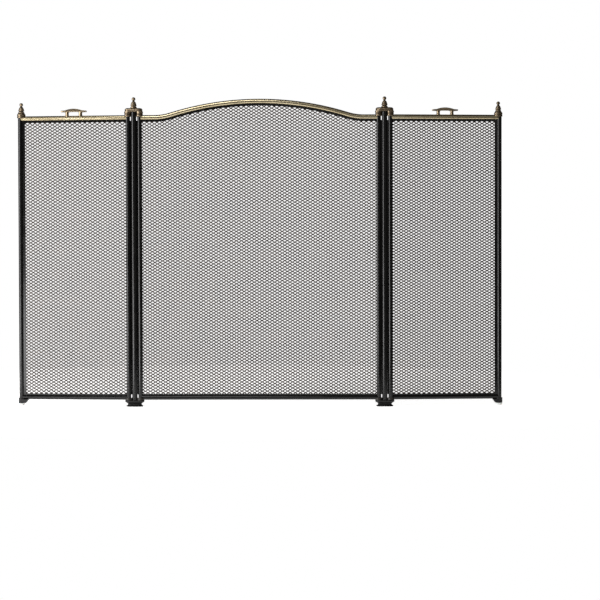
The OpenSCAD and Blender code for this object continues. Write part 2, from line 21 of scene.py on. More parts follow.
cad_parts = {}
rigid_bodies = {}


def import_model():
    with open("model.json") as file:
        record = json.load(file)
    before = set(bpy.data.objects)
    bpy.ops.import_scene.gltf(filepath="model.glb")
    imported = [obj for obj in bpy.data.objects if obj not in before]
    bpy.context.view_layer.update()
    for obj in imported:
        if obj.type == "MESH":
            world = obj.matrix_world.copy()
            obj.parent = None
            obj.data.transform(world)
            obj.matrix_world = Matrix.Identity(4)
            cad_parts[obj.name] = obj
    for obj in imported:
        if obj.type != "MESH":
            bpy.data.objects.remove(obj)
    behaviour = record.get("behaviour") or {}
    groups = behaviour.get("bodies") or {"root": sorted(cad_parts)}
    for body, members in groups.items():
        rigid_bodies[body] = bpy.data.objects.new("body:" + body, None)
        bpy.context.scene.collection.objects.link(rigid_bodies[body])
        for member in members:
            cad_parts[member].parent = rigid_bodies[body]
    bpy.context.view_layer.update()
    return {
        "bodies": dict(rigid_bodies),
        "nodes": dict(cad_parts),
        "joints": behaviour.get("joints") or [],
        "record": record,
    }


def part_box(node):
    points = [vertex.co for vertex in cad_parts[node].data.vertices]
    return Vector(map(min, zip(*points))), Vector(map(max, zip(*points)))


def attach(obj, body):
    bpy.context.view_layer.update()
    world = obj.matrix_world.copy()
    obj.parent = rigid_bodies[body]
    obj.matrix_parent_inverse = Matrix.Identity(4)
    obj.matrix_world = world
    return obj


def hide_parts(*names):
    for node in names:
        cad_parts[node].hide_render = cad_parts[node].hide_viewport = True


log = logging.getLogger("fireplace_screen")

Piece = bpy.types.Object
Paint = bpy.types.Material
Socket = bpy.types.NodeSocket
Colour = tuple[float, float, float]
Outline = Sequence[tuple[float, float]]

MM = 0.001
OVERRUN = 1.0 * MM  # how far a drill starts outside the piece it cuts
DRILL = 20.0 * MM  # a drill's length, more than any hole here is deep
DRILL_SIDES = 48
LAP = 0.4 * MM  # how far one part of a casting reaches into the next
NOTHING = 1e-9  # a length too small to count


class Side(Enum):
    """The two ends of the screen, as seen from the room."""

    LEFT = -1
    RIGHT = 1

    @property
    def word(self) -> str:
        """The side's name as the frame's nodes spell it."""
        return self.name.lower()


class Selection(Enum):
    """What an edit-mode selection picks out."""

    VERTICES = "VERT"
    EDGES = "EDGE"
    FACES = "FACE"


def middle_of(node: str, height: float) -> Vector:
    """The middle of a node as seen from above, at a given height."""
    low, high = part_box(node)
    return Vector(((low.x + high.x) / 2, (low.y + high.y) / 2, height))


# ---- shader maths


class Level:
    """A number in a shader, one per point of the surface, that takes part in Python arithmetic."""

    def __init__(self, palette: "Palette", socket: Socket) -> None:
        """Wraps the output socket that carries the number."""
        self.palette = palette
        self.socket = socket

    def _joined(self, operation: str, first: Any, second: Any) -> "Level":
        """Adds a Math node that works on two numbers or Levels."""
        values = {0: first, 1: second}
        return Level(self.palette, self.palette.add("Math", values, operation=operation).outputs[0])

    def __add__(self, other: Any) -> "Level":
        """Sum."""
        return self._joined("ADD", self, other)

    __radd__ = __add__

    def __mul__(self, other: Any) -> "Level":
        """Product."""
        return self._joined("MULTIPLY", self, other)

    __rmul__ = __mul__

    def __sub__(self, other: Any) -> "Level":
        """Difference."""
        return self._joined("SUBTRACT", self, other)

    def __rsub__(self, other: Any) -> "Level":
        """Difference, the other way round."""
        return self._joined("SUBTRACT", other, self)

    def __pow__(self, power: float) -> "Level":
        """Power."""
        return self._joined("POWER", self, power)

    def held(self) -> "Level":
        """The same number kept between 0 and 1."""
        return self._joined("MINIMUM", self._joined("MAXIMUM", self, 0.0), 1.0)

    def band(self, low: float, high: float) -> "Level":
        """Stretches the numbers from low to high over 0 to 1, and keeps them there."""
        return ((self - low) * (1.0 / (high - low))).held()


class Palette:
    """The node tree of one finish, or of the room round the screen."""

    def __init__(self, name: str, owners: Any = None) -> None:
        """Starts a material or a world with an empty tree.

        Args:
            name: its name.
            owners: Blender's list that it goes in, the materials unless another is given.
        """
        self.owner = (bpy.data.materials if owners is None else owners).new(name)
        self.owner.use_nodes = True
        self.tree = self.owner.node_tree
        self.tree.nodes.clear()

    def add(self, kind: str, sockets: Any = None, **settings: Any) -> bpy.types.Node:
        """Adds any node.

        Args:
            kind: the node's type, without "ShaderNode".
            sockets: values or links of its inputs, by name or number.
            **settings: its own properties, which are set first; "stops" sets a ramp's stops.

        Returns:
            The new node.
        """
        node = self.tree.nodes.new("ShaderNode" + kind)
        stops = settings.pop("stops", None)
        for key, value in settings.items():
            setattr(node, key, value)
        if stops:
            for element, (place, colour) in zip(node.color_ramp.elements, stops, strict=True):
                element.position = place
                element.color = (*colour, 1.0)
        for key, value in (sockets or {}).items():
            if isinstance(value, Level):
                value = value.socket
            if isinstance(value, Socket):
                self.tree.links.new(value, node.inputs[key])
            else:
                node.inputs[key].default_value = value
        return node

    def noise(
        self, size: float, detail: float, stretch: Sequence[float] = (1, 1, 1), rough: float = 0.5
    ) -> Level:
        """Cloudy variation.

        Args:
            size: the width of one cloud, in metres.
            detail: how many finer layers it has.
            stretch: how many times longer the clouds are along each axis.
            rough: the share of the finer layers.

        Returns:
            A level about 0.5.
        """
        point = self.add("TexCoord").outputs["Object"]
        shrunk = tuple(1.0 / s for s in stretch)
        where = self.add("Mapping", {"Vector": point, "Scale": shrunk}).outputs[0]
        values = {"Vector": where, "Scale": 1.0 / size, "Detail": detail, "Roughness": rough}
        node = self.add("TexNoise", values, noise_dimensions="3D")
        return Level(self, node.outputs["Fac"])

    def rubbed(self) -> Level:
        """How far a point stands out of its surroundings, as the piece's attribute holds it."""
        return Level(self, self.add("Attribute", attribute_name="rubbed").outputs["Fac"])

    def blend(self, share: Any, first: Any, second: Any) -> Socket:
        """Mixes two colours.

        Args:
            share: how much of the second, a number or a Level.
            first: the first colour, or its socket.
            second: the second colour, or its socket.

        Returns:
            The mixed colour's socket.
        """
        colours = [c if isinstance(c, Socket) else (*c, 1.0) for c in (first, second)]
        values = {0: share, 6: colours[0], 7: colours[1]}
        return self.add("Mix", values, data_type="RGBA").outputs[2]

    def relief(self, height: Level, depth: float, strength: float) -> Socket:
        """Turns a height from 0 to 1 into a bumped normal, 1 being so many metres deep."""
        values = {"Strength": strength, "Distance": depth, "Height": height}
        return self.add("Bump", values).outputs[0]

    def surface(self, **sockets: Any) -> Paint:
        """Ends the tree in one Principled surface.

        Args:
            **sockets: the shader's inputs, with underscores for spaces.

        Returns:
            The finished material.
        """
        values = {key.replace("_", " "): value for key, value in sockets.items()}
        shader = self.add("BsdfPrincipled", values)
        self.add("OutputMaterial", {"Surface": shader.outputs[0]})
        return self.owner


# ---- finishes


@dataclass(frozen=True)
class BlackEnamel:
    """Gloss black enamel on steel: faint orange peel, a little dust and uneven gloss."""

    name: str = "black_enamel"
    black: Colour = (0.0025, 0.0025, 0.0026)
    dusty: Colour = (0.0075, 0.007, 0.006)
    gloss: float = 0.13
    peel: float = 1.3 * MM
    peel_depth: float = 0.012 * MM

    def paint(self) -> Paint:
        """Mixes the enamel.

        Returns:
            The material.
        """
        p = Palette(self.name)
        cloud = p.noise(35 * MM, 4.0)
        speck = p.noise(0.9 * MM, 2.0).band(0.62, 0.78)
        dust = (cloud.band(0.42, 0.75) * 0.45 + speck * 0.35).held()
        peel = p.noise(self.peel, 2.0)
        return p.surface(
            Base_Color=p.blend(dust, self.black, self.dusty),
            Roughness=(self.gloss + cloud * 0.06 + dust * 0.12).held(),
            Normal=p.relief(peel, self.peel_depth, 0.6),
            Specular_IOR_Level=0.36,
        )


@dataclass(frozen=True)
class SheetEnamel:
    """Dipped black-brown enamel on expanded metal, thicker in the corners of the strands."""

    name: str = "sheet_enamel"
    dark: Colour = (0.012, 0.008, 0.005)
    light: Colour = (0.050, 0.032, 0.020)
    gloss: float = 0.36

    def paint(self) -> Paint:
        """Mixes the enamel.

        Returns:
            The material.
        """
        p = Palette(self.name)
        cloud = p.noise(24 * MM, 4.0)
        grain = p.noise(1.1 * MM, 2.0)
        tone = (cloud.band(0.35, 0.7) * 0.6 + grain * 0.25).held()
        return p.surface(
            Base_Color=p.blend(tone, self.dark, self.light),
            Roughness=(self.gloss + grain * 0.22).held(),
            Normal=p.relief(grain, 0.02 * MM, 0.7),
            Specular_IOR_Level=0.35,
        )


@dataclass(frozen=True)
class AntiqueBrass:
    """Brushed brass, toned down: pale where handled, browner in patches, fine lines along x."""

    name: str = "antique_brass"
    pale: Colour = (0.66, 0.57, 0.38)
    toned: Colour = (0.44, 0.355, 0.20)
    spots: Colour = (0.11, 0.08, 0.045)
    gloss: float = 0.21

    def paint(self) -> Paint:
        """Mixes the finish.

        Returns:
            The material.
        """
        p = Palette(self.name)
        cloud = p.noise(45 * MM, 4.0, (2.0, 1.0, 1.0))
        patch = p.noise(9 * MM, 3.0, (2.5, 1.0, 1.0))
        lines = p.noise(0.8 * MM, 1.0, (200.0, 1.0, 1.0))
        tone = (cloud.band(0.3, 0.72) * 0.65 + lines * 0.10 + patch * 0.15).held()
        body = p.blend(tone, self.pale, self.toned)
        return p.surface(
            Base_Color=p.blend(patch.band(0.56, 0.78) * 0.5, body, self.spots),
            Metallic=1.0,
            Roughness=(self.gloss + lines * 0.08 + patch.band(0.5, 0.8) * 0.10).held(),
            Normal=p.relief(lines, 0.004 * MM, 0.2),
        )


@dataclass(frozen=True)
class CastBronze:
    """Dark bronzed casting: brown patina in the hollows; where it stands out, pale brass that is
    partly rubbed-through wear and partly a painted highlight.
    """

    name: str = "cast_bronze"
    hollow: Colour = (0.018, 0.012, 0.007)
    flat: Colour = (0.095, 0.068, 0.040)
    # pale brass of the standing-out edges: rubbed-through wear and a painted highlight
    bright: Colour = (0.46, 0.36, 0.24)
    gloss: float = 0.26

    def paint(self) -> Paint:
        """Mixes the finish.

        Returns:
            The material.
        """
        p = Palette(self.name)
        rubbed = p.rubbed()
        cloud = p.noise(6 * MM, 4.0)
        sand = p.noise(0.7 * MM, 3.0)
        # painted highlight: where the surface stands out the colour goes toward pale brass, partly
        # rubbed-through wear and partly a painted highlight on the edges
        wear_and_highlight = (rubbed + (cloud - 0.5) * 0.5).band(0.52, 0.86)
        deep = (0.5 - rubbed + (cloud - 0.5) * 0.3).band(0.02, 0.22)
        body = p.blend(deep, self.flat, self.hollow)
        return p.surface(
            Base_Color=p.blend(wear_and_highlight, body, self.bright),
            Metallic=(0.72 + wear_and_highlight * 0.25 - deep * 0.25).held(),
            Roughness=(self.gloss + sand * 0.18 - wear_and_highlight * 0.12 + deep * 0.15).held(),
            Normal=p.relief(sand, 0.03 * MM, 0.5),
        )


@dataclass(frozen=True)
class CastIron:
    """The feet: black enamel over a sand casting, coarser than on the tubes; lighter on its edges,
    partly enamel worn thin and partly a painted highlight.
    """

    name: str = "enamelled_iron"
    black: Colour = (0.0035, 0.0035, 0.0036)
    # edge colour: enamel worn thin and a painted highlight
    edge: Colour = (0.035, 0.031, 0.027)
    gloss: float = 0.30

    def paint(self) -> Paint:
        """Mixes the enamel.

        Returns:
            The material.
        """
        p = Palette(self.name)
        sand = p.noise(1.0 * MM, 4.0)
        cloud = p.noise(12 * MM, 3.0)
        # painted highlight: edges that stand out are lightened, partly enamel worn thin and partly
        # a painted highlight
        wear_and_highlight = (p.rubbed() + (cloud - 0.5) * 0.6).band(0.66, 0.98)
        return p.surface(
            Base_Color=p.blend(wear_and_highlight * 0.8, self.black, self.edge),
            Roughness=(self.gloss + sand * 0.25).held(),
            Normal=p.relief(sand, 0.05 * MM, 0.6),
            Specular_IOR_Level=0.30,
        )


@dataclass(frozen=True)
class TurnedSteel:
    """Bare turned steel of the pins and screws: fine rings and a little oil stain."""

    name: str = "turned_steel"
    clean: Colour = (0.46, 0.46, 0.47)
    stain: Colour = (0.20, 0.17, 0.13)

    def paint(self) -> Paint:
        """Mixes the finish.

        Returns:
            The material.
        """
        p = Palette(self.name)
        rings = p.noise(0.25 * MM, 2.0, (40.0, 40.0, 1.0))
        stain = p.noise(5 * MM, 4.0).band(0.5, 0.75)
        return p.surface(
            Base_Color=p.blend(stain * 0.6, self.clean, self.stain),
            Metallic=1.0,
            Roughness=(0.24 + rings * 0.2 + stain * 0.2).held(),
            Normal=p.relief(rings, 0.01 * MM, 0.6),
        )


@dataclass(frozen=True)
class MouldedNylon:
    """Moulded plastic of the glides, bushes and washers: milky, satin, scuffed where it slides."""

    name: str
    clean: Colour
    scuffed: Colour

    def paint(self) -> Paint:
        """Mixes the plastic.

        Returns:
            The material.
        """
        p = Palette(self.name)
        scuff = p.noise(3 * MM, 5.0, rough=0.65).band(0.5, 0.72)
        grain = p.noise(0.5 * MM, 2.0)
        return p.surface(
            Base_Color=p.blend(scuff * 0.7, self.clean, self.scuffed),
            Roughness=(0.42 + grain * 0.12 + scuff * 0.2).held(),
            Normal=p.relief(grain, 0.015 * MM, 0.5),
            Subsurface_Weight=0.08,
            Subsurface_Scale=0.002,
        )


@dataclass(frozen=True)
class PaleFloor:
    """The studio's plain pale floor."""

    name: str = "pale_floor"
    colour: Colour = (0.86, 0.86, 0.855)
    glow: float = 0.90

    def paint(self) -> Paint:
        """Mixes the floor's paint."""
        return Palette(self.name).surface(
            Base_Color=(*self.colour, 1.0),
            Roughness=0.9,
            Emission_Color=(1.0, 1.0, 0.995, 1.0),
            Emission_Strength=self.glow,
        )


class Finishes:
    """Every finish of the screen, painted once."""

    def __init__(self) -> None:
        """Paints them all."""
        self.enamel = BlackEnamel().paint()
        self.sheet = SheetEnamel().paint()
        self.brass = AntiqueBrass().paint()
        self.handle = AntiqueBrass(
            "handled_brass", pale=(0.40, 0.32, 0.21), toned=(0.21, 0.155, 0.095), gloss=0.22
        ).paint()
        self.bronze = CastBronze().paint()
        self.iron = CastIron().paint()
        self.steel = TurnedSteel().paint()
        self.bush = MouldedNylon("bush_nylon", (0.66, 0.63, 0.55), (0.42, 0.40, 0.35)).paint()
        self.glide = MouldedNylon("glide_plastic", (0.70, 0.70, 0.68), (0.45, 0.44, 0.42)).paint()
        self.floor = PaleFloor().paint()

    def of_node(self, node: str) -> Paint:
        """The finish of one node of the frame.

        Args:
            node: the node's name.

        Returns:
            Its material.
        """
        endings: list[tuple[tuple[str, ...], Paint]] = [
            (("mesh",), self.sheet),
            (("top_rail",), self.brass),
            (("handle_bar", "handle_posts"), self.handle),
            (("cap", "finial", "collar"), self.bronze),
            (("hinge_foot", "end_shoe"), self.iron),
            (("pins", "screw"), self.steel),
            (("bushes", "washers"), self.bush),
            (("glide",), self.glide),
        ]
        return next((paint for ends, paint in endings if node.endswith(ends)), self.enamel)


# ---- the bench


class Bench:
    """Modelling by hand: primitives, edit-mode strokes and modifiers on one piece at a time."""

    @staticmethod
    def clear() -> None:
        """Leaves edit mode and deselects everything."""
        if bpy.context.object and bpy.context.object.mode != "OBJECT":
            bpy.ops.object.mode_set(mode="OBJECT")
        bpy.ops.object.select_all(action="DESELECT")

    @staticmethod
    def take(piece: Piece) -> None:
        """Selects one piece alone and makes it active.

        Args:
            piece: the piece.
        """
        Bench.clear()
        piece.select_set(True)
        bpy.context.view_layer.objects.active = piece

    @staticmethod
    def edit(piece: Piece, mode: Selection = Selection.FACES, everything: bool = False) -> None:
        """Opens a piece in edit mode.

        Args:
            piece: the piece.
            mode: what can be selected.
            everything: whether all of it starts selected, or none of it.
        """
        Bench.take(piece)
        bpy.ops.object.mode_set(mode="EDIT")
        bpy.ops.mesh.select_mode(type=mode.value)
        bpy.ops.mesh.select_all(action="SELECT" if everything else "DESELECT")

    @staticmethod
    def close() -> None:
        """Goes back to object mode."""
        bpy.ops.object.mode_set(mode="OBJECT")

    @staticmethod
    def pick(piece: Piece, chosen: Callable[[Vector], bool]) -> None:
        """Selects vertices by where they are.

        Args:
            piece: the piece, in edit mode.
            chosen: says yes or no to a vertex's place.
        """
        bpy.ops.mesh.select_mode(type=Selection.VERTICES.value)
        bpy.ops.mesh.select_all(action="DESELECT")
        Bench.close()
        for vertex in piece.data.vertices:
            vertex.select = chosen(vertex.co)
        bpy.ops.object.mode_set(mode="EDIT")

    @staticmethod
    def named(name: str) -> Piece:
        """Gives the active piece and its mesh a name, and returns the piece."""
        bpy.context.object.name = bpy.context.object.data.name = name
        return bpy.context.object

    @staticmethod
    def settle(piece: Piece) -> None:
        """Puts the piece's place, turn and scale in its mesh."""
        Bench.take(piece)
        bpy.ops.object.transform_apply(location=True, rotation=True, scale=True)

    @staticmethod
    def outward(piece: Piece, merge: float = 0.002 * MM) -> None:
        """Merges doubled vertices and points every face outwards.

        Args:
            piece: the piece.
            merge: the greatest distance between doubles.
        """
        Bench.edit(piece, Selection.VERTICES, True)
        bpy.ops.mesh.remove_doubles(threshold=merge)
        bpy.ops.mesh.normals_make_consistent(inside=False)
        Bench.close()

    @staticmethod
    def modify(piece: Piece, kind: str, **settings: Any) -> None:
        """Adds a modifier and applies it.

        Args:
            piece: the piece.
            kind: the modifier's type.
            **settings: its properties.
        """
        Bench.take(piece)
        modifier = piece.modifiers.new(kind.lower(), kind)
        for key, value in settings.items():
            setattr(modifier, key, value)
        bpy.ops.object.modifier_apply(modifier=modifier.name)

    @staticmethod
    def carve(piece: Piece, tools: Iterable[Piece], keep_common: bool = False) -> None:
        """Cuts a piece with closed tools, which are then thrown away.

        Args:
            piece: the piece.
            tools: the cutting shapes.
            keep_common: keeps what lies inside the tools, not what lies outside.
        """
        for tool in tools:
            Bench.modify(
                piece,
                "BOOLEAN",
                operation="INTERSECT" if keep_common else "DIFFERENCE",
                solver="MANIFOLD",
                object=tool,
            )
            spent = tool.data
            bpy.data.objects.remove(tool)
            bpy.data.meshes.remove(spent)

    @staticmethod
    def drill(radius: float, low: Sequence[float], height: float = DRILL) -> Piece:
        """An upright round tool.

        Args:
            radius: its radius.
            low: the middle of its lower end.
            height: its height.

        Returns:
            The tool.
        """
        Bench.clear()
        middle = (low[0], low[1], low[2] + height / 2)
        turn = (0, 0, math.pi / DRILL_SIDES)
        bpy.ops.mesh.primitive_cylinder_add(
            vertices=DRILL_SIDES, radius=radius, depth=height, location=middle, rotation=turn
        )
        tool = Bench.named("drill")
        Bench.settle(tool)
        return tool

    @staticmethod
    def join(pieces: Sequence[Piece], name: str) -> Piece:
        """Makes several pieces one.

        Args:
            pieces: the pieces; the first one stays.
            name: the name of the result.

        Returns:
            The joined piece.
        """
        Bench.clear()
        for piece in pieces:
            piece.select_set(True)
        bpy.context.view_layer.objects.active = pieces[0]
        bpy.ops.object.join()
        return Bench.named(name)

    @staticmethod
    def coat(piece: Piece, finish: Paint) -> None:
        """Gives the whole piece one finish.

        Args:
            piece: the piece.
            finish: its finish.
        """
        piece.data.materials.clear()
        piece.data.materials.append(finish)
        piece.data.polygons.foreach_set("material_index", [0] * len(piece.data.polygons))

    @staticmethod
    def read(items: Any, name: str, width: int, kind: type = float) -> np.ndarray:
        """Reads one property of every vertex or edge.

        Args:
            items: the mesh's vertices or edges.
            name: the property.
            width: how many numbers it has.
            kind: what they are.

        Returns:
            The numbers, one row for each item.
        """
        values = np.empty(len(items) * width, dtype=kind)
        items.foreach_get(name, values)
        return values.reshape(-1, width)

    @staticmethod
    def rub(piece: Piece, reach: float) -> None:
        """Stores how far each vertex stands out of what is round it, 0.5 on an even surface.

        Args:
            piece: the piece.
            reach: the height over its surroundings that counts as 1.
        """
        mesh = piece.data
        place = Bench.read(mesh.vertices, "co", 3)
        normal = Bench.read(mesh.vertices, "normal", 3)
        first, second = Bench.read(mesh.edges, "vertices", 2, np.int64).T
        both_ways = ((first, second), (second, first))
        total, links = np.zeros(len(place)), np.zeros(len(place))
        for a, b in both_ways:
            step = place[b] - place[a]
            length = np.linalg.norm(step, axis=1) + NOTHING
            np.add.at(total, a, -np.einsum("ij,ij->i", step, normal[a]) / length)
            np.add.at(links, a, 1.0)
        proud = total / np.maximum(links, 1.0)
        for _ in range(2):
            spread, near = proud.copy(), np.ones(len(proud))
            for a, b in both_ways:
                np.add.at(spread, a, proud[b])
                np.add.at(near, a, 1.0)
            proud = spread / near
        values = np.clip(0.5 + proud / (2 * reach), 0.0, 1.0).astype(np.float32)
        mesh.attributes.new("rubbed", "FLOAT", "POINT").data.foreach_set("value", values)


@dataclass(frozen=True)
class Mount:
    """Where a modelled piece belongs: its body and the frame's node; its material slot is not used.
    """

    body: str
    node: str
    slot: str

    def hold(self, piece: Piece, finish: Paint, smooth: float | None = None) -> Piece:
        """Dresses a piece and fixes it to its body.

        Args:
            piece: the piece, in its place.
            finish: its finish.
            smooth: the sharpest angle that is shaded smooth, in degrees; None keeps every edge.

        Returns:
            The piece.
        """
        Bench.coat(piece, finish)
        if smooth is not None:
            Bench.settle(piece)
            bpy.ops.object.shade_smooth_by_angle(angle=math.radians(smooth))
        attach(piece, self.body)
        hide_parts(self.node)
        return piece


@dataclass
class Profile:
    """Outline of turned or flared work: radius and height from the bottom up."""

    points: list[tuple[float, float]]
    cut: float = 0.22

    @staticmethod
    def drawn(points: Outline, radius: float = 0.0, height: float = 0.0) -> "Profile":
        """An outline given in millimetres, its points counted from a radius and a height."""
        return Profile([(radius + r * MM, height + z * MM) for r, z in points])

    def softened(self, times: int = 1) -> "Profile":
        """Rounds the outline's corners by cutting them, ends kept.

        Args:
            times: how often the corners are cut.

        Returns:
            The rounded outline.
        """
        points, share = self.points, self.cut
        for _ in range(times):
            cut = [points[0]]
            for (r0, z0), (r1, z1) in zip(points, points[1:]):
                cut.append((r0 + share * (r1 - r0), z0 + share * (z1 - z0)))
                cut.append((r1 - share * (r1 - r0), z1 - share * (z1 - z0)))
            cut.append(points[-1])
            points = cut
        return Profile(points)

    def sized(self, radius: float, height: float) -> "Profile":
        """Scales an outline drawn on a unit radius and height."""
        return Profile([(r * radius, z * height) for r, z in self.points])

    def made(self, name: str, foot: Vector, half_length: float = 0.0, corners: int = 40) -> Piece:
        """Draws the outline up from a disc, layer by layer.

        Args:
            name: the piece's name.
            foot: the middle of its underside.
            half_length: for an oblong piece, how far each round end's centre is from its middle.
            corners: the number of corners round it.

        Returns:
            The closed piece.
        """
        Bench.clear()
        radius, height = self.points[0]
        bpy.ops.mesh.primitive_circle_add(
            vertices=corners,
            radius=radius,
            fill_type="NGON",
            location=(foot.x, foot.y, foot.z + height),
            rotation=(0, 0, math.pi / corners),
        )
        piece = Bench.named(name)
        Bench.settle(piece)
        if half_length:
            for side in Side:
                Bench.edit(piece)
                Bench.pick(piece, lambda p: (p.x - foot.x) * side.value > 0)
                bpy.ops.transform.translate(value=(side.value * half_length, 0, 0))
                Bench.close()
        Bench.edit(piece, Selection.FACES, True)
        for (r0, z0), (r1, z1) in zip(self.points, self.points[1:]):
            bpy.ops.mesh.extrude_region_move(TRANSFORM_OT_translate={"value": (0, 0, z1 - z0)})
            if abs(r1 - r0) > NOTHING:
                self._flared(piece, foot, half_length, r1 / r0)
        Bench.close()
        Bench.outward(piece)
        return piece

    @staticmethod
    def _flared(piece: Piece, foot: Vector, half_length: float, ratio: float) -> None:
        """Widens or narrows the face on top.

        Args:
            piece: the piece, in edit mode with its top face selected.
            foot: the middle of its underside.
            half_length: the distance from its middle to each round end's centre.
            ratio: the new radius over the old one.
        """
        if not half_length:
            bpy.ops.transform.resize(value=(ratio, ratio, 1), center_override=foot)
            return
        bpy.ops.object.mode_set(mode="OBJECT")
        top = next(f for f in piece.data.polygons if f.select)
        for i in top.vertices:
            spot = piece.data.vertices[i].co
            centre = foot.x + math.copysign(half_length, spot.x - foot.x)
            spot.x = centre + (spot.x - centre) * ratio
            spot.y = foot.y + (spot.y - foot.y) * ratio
        bpy.ops.object.mode_set(mode="EDIT")


# ---- expanded metal


@dataclass
class ExpandedSheet:
    """One sheet of expanded metal: level diamonds whose strands lean, cut to the frame's sheet."""

    body: str
    node: str
    short_pitch: float = 6.0 * MM
    long_pitch: float = 9.95 * MM
    strand: float = 1.74 * MM
    gauge: float = 1.0 * MM
    lean: float = 0.3 * MM
    spare: float = 1.6
    thickened: float = 8.0
    hinge: Vector = field(default_factory=lambda: Vector((0, 0, 0)))
    turn: float = 0.0

    def build(self, finish: Paint) -> Piece:
        """Makes the sheet in its place.

        Args:
            finish: its enamel.

        Returns:
            The sheet.
        """
        to_flat = Matrix.Rotation(-self.turn, 4, "Z") @ Matrix.Translation(-self.hinge)
        outline = self._outline(to_flat)
        corners = np.array([v.co for v in outline.data.vertices])
        low, high = Vector(corners.min(0)), Vector(corners.max(0))
        sheet = self._lattice((low + high) / 2, high.x - low.x, high.z - low.z)
        Bench.carve(sheet, [outline], keep_common=True)
        sheet.data.transform(to_flat.inverted())
        return Mount(self.body, self.node, "mesh").hold(sheet, finish)

    def _outline(self, to_flat: Matrix) -> Piece:
        """Copies the frame's plain sheet, laid flat and made thick, to cut the lattice with.

        Args:
            to_flat: turns the screen's frame into the sheet's own.

        Returns:
            The cutting shape.
        """
        source = bpy.data.objects[self.node]
        outline = bpy.data.objects.new(self.node + "_outline", source.data.copy())
        bpy.context.scene.collection.objects.link(outline)
        outline.data.transform(to_flat)
        Bench.outward(outline, 0.01 * MM)
        Bench.edit(outline, Selection.VERTICES, True)
        middle = (0, self._depth(outline), 0)
        bpy.ops.transform.resize(value=(1, self.thickened, 1), center_override=middle)
        Bench.close()
        return outline

    @staticmethod
    def _depth(outline: Piece) -> float:
        """The middle of a flat shape along y."""
        depths = [v.co.y for v in outline.data.vertices]
        return (min(depths) + max(depths)) / 2

    def _lattice(self, centre: Vector, width: float, height: float) -> Piece:
        """Slits and stretches a plate into diamonds, a little larger than the sheet.

        Args:
            centre: the sheet's middle.
            width: the sheet's width.
            height: the sheet's height.

        Returns:
            The closed lattice.
        """
        margin = self.spare * self.long_pitch
        columns = (width + 2 * margin) / self.long_pitch
        count = math.ceil(columns + (height + 2 * margin) / self.short_pitch)
        Bench.clear()
        bpy.ops.mesh.primitive_grid_add(
            x_subdivisions=count, y_subdivisions=count, size=count, rotation=(0, 0, math.pi / 4)
        )
        sheet = Bench.named(self.node.replace("mesh", "expanded_metal"))
        Bench.settle(sheet)
        sheet.scale = (self.long_pitch / math.sqrt(2), self.short_pitch / math.sqrt(2), 1)
        sheet.rotation_euler = (math.pi / 2, 0, 0)
        Bench.settle(sheet)
        self._trim(sheet, width / 2 + margin, height / 2 + margin)
        self._slit(sheet)
        kept = 0.45 * margin
        self._trim(sheet, width / 2 + kept, height / 2 + kept)
        Bench.edit(sheet)
        rows = self.short_pitch / 2
        near, far = 0.1, 0.45  # which edges lean, in rows from the nearest row of crossings
        for way in (-1, 1):
            Bench.pick(sheet, lambda p: near < way * (p.z / rows - round(p.z / rows)) < far)
            bpy.ops.transform.translate(value=(0, -way * self.lean, 0))
        Bench.close()
        Bench.modify(sheet, "SOLIDIFY", thickness=self.gauge, offset=0.0)
        sheet.location = centre
        Bench.settle(sheet)
        return sheet

    @staticmethod
    def _trim(sheet: Piece, half_width: float, half_height: float) -> None:
        """Cuts a flat lattice to a rectangle about the origin.

        Args:
            sheet: the lattice.
            half_width: half of the rectangle's width.
            half_height: half of its height.
        """
        across, up = Vector((half_width, 0, 0)), Vector((0, 0, half_height))
        for edge in (across, -across, up, -up):
            Bench.edit(sheet, Selection.FACES, True)
            bpy.ops.mesh.bisect(plane_co=edge, plane_no=edge.normalized(), clear_outer=True)
            Bench.close()

    def _slit(self, sheet: Piece) -> None:
        """Widens every line of the lattice to a strand and opens the diamonds between.

        Args:
            sheet: the lattice of lines.
        """
        for slot in ("holes", "strands"):
            sheet.data.materials.append(bpy.data.materials.new(slot))
        Bench.edit(sheet, Selection.EDGES, True)
        bpy.ops.mesh.bevel(
            offset=self.strand / 2, offset_type="OFFSET", segments=1, affect="EDGES", material=1
        )
        Bench.close()
        Bench.edit(sheet)
        Bench.close()  # nothing is selected now
        for face in sheet.data.polygons:
            face.select = face.material_index == 0
        bpy.ops.object.mode_set(mode="EDIT")
        bpy.ops.mesh.delete(type="FACE")
        Bench.close()


# ---- the arched rail


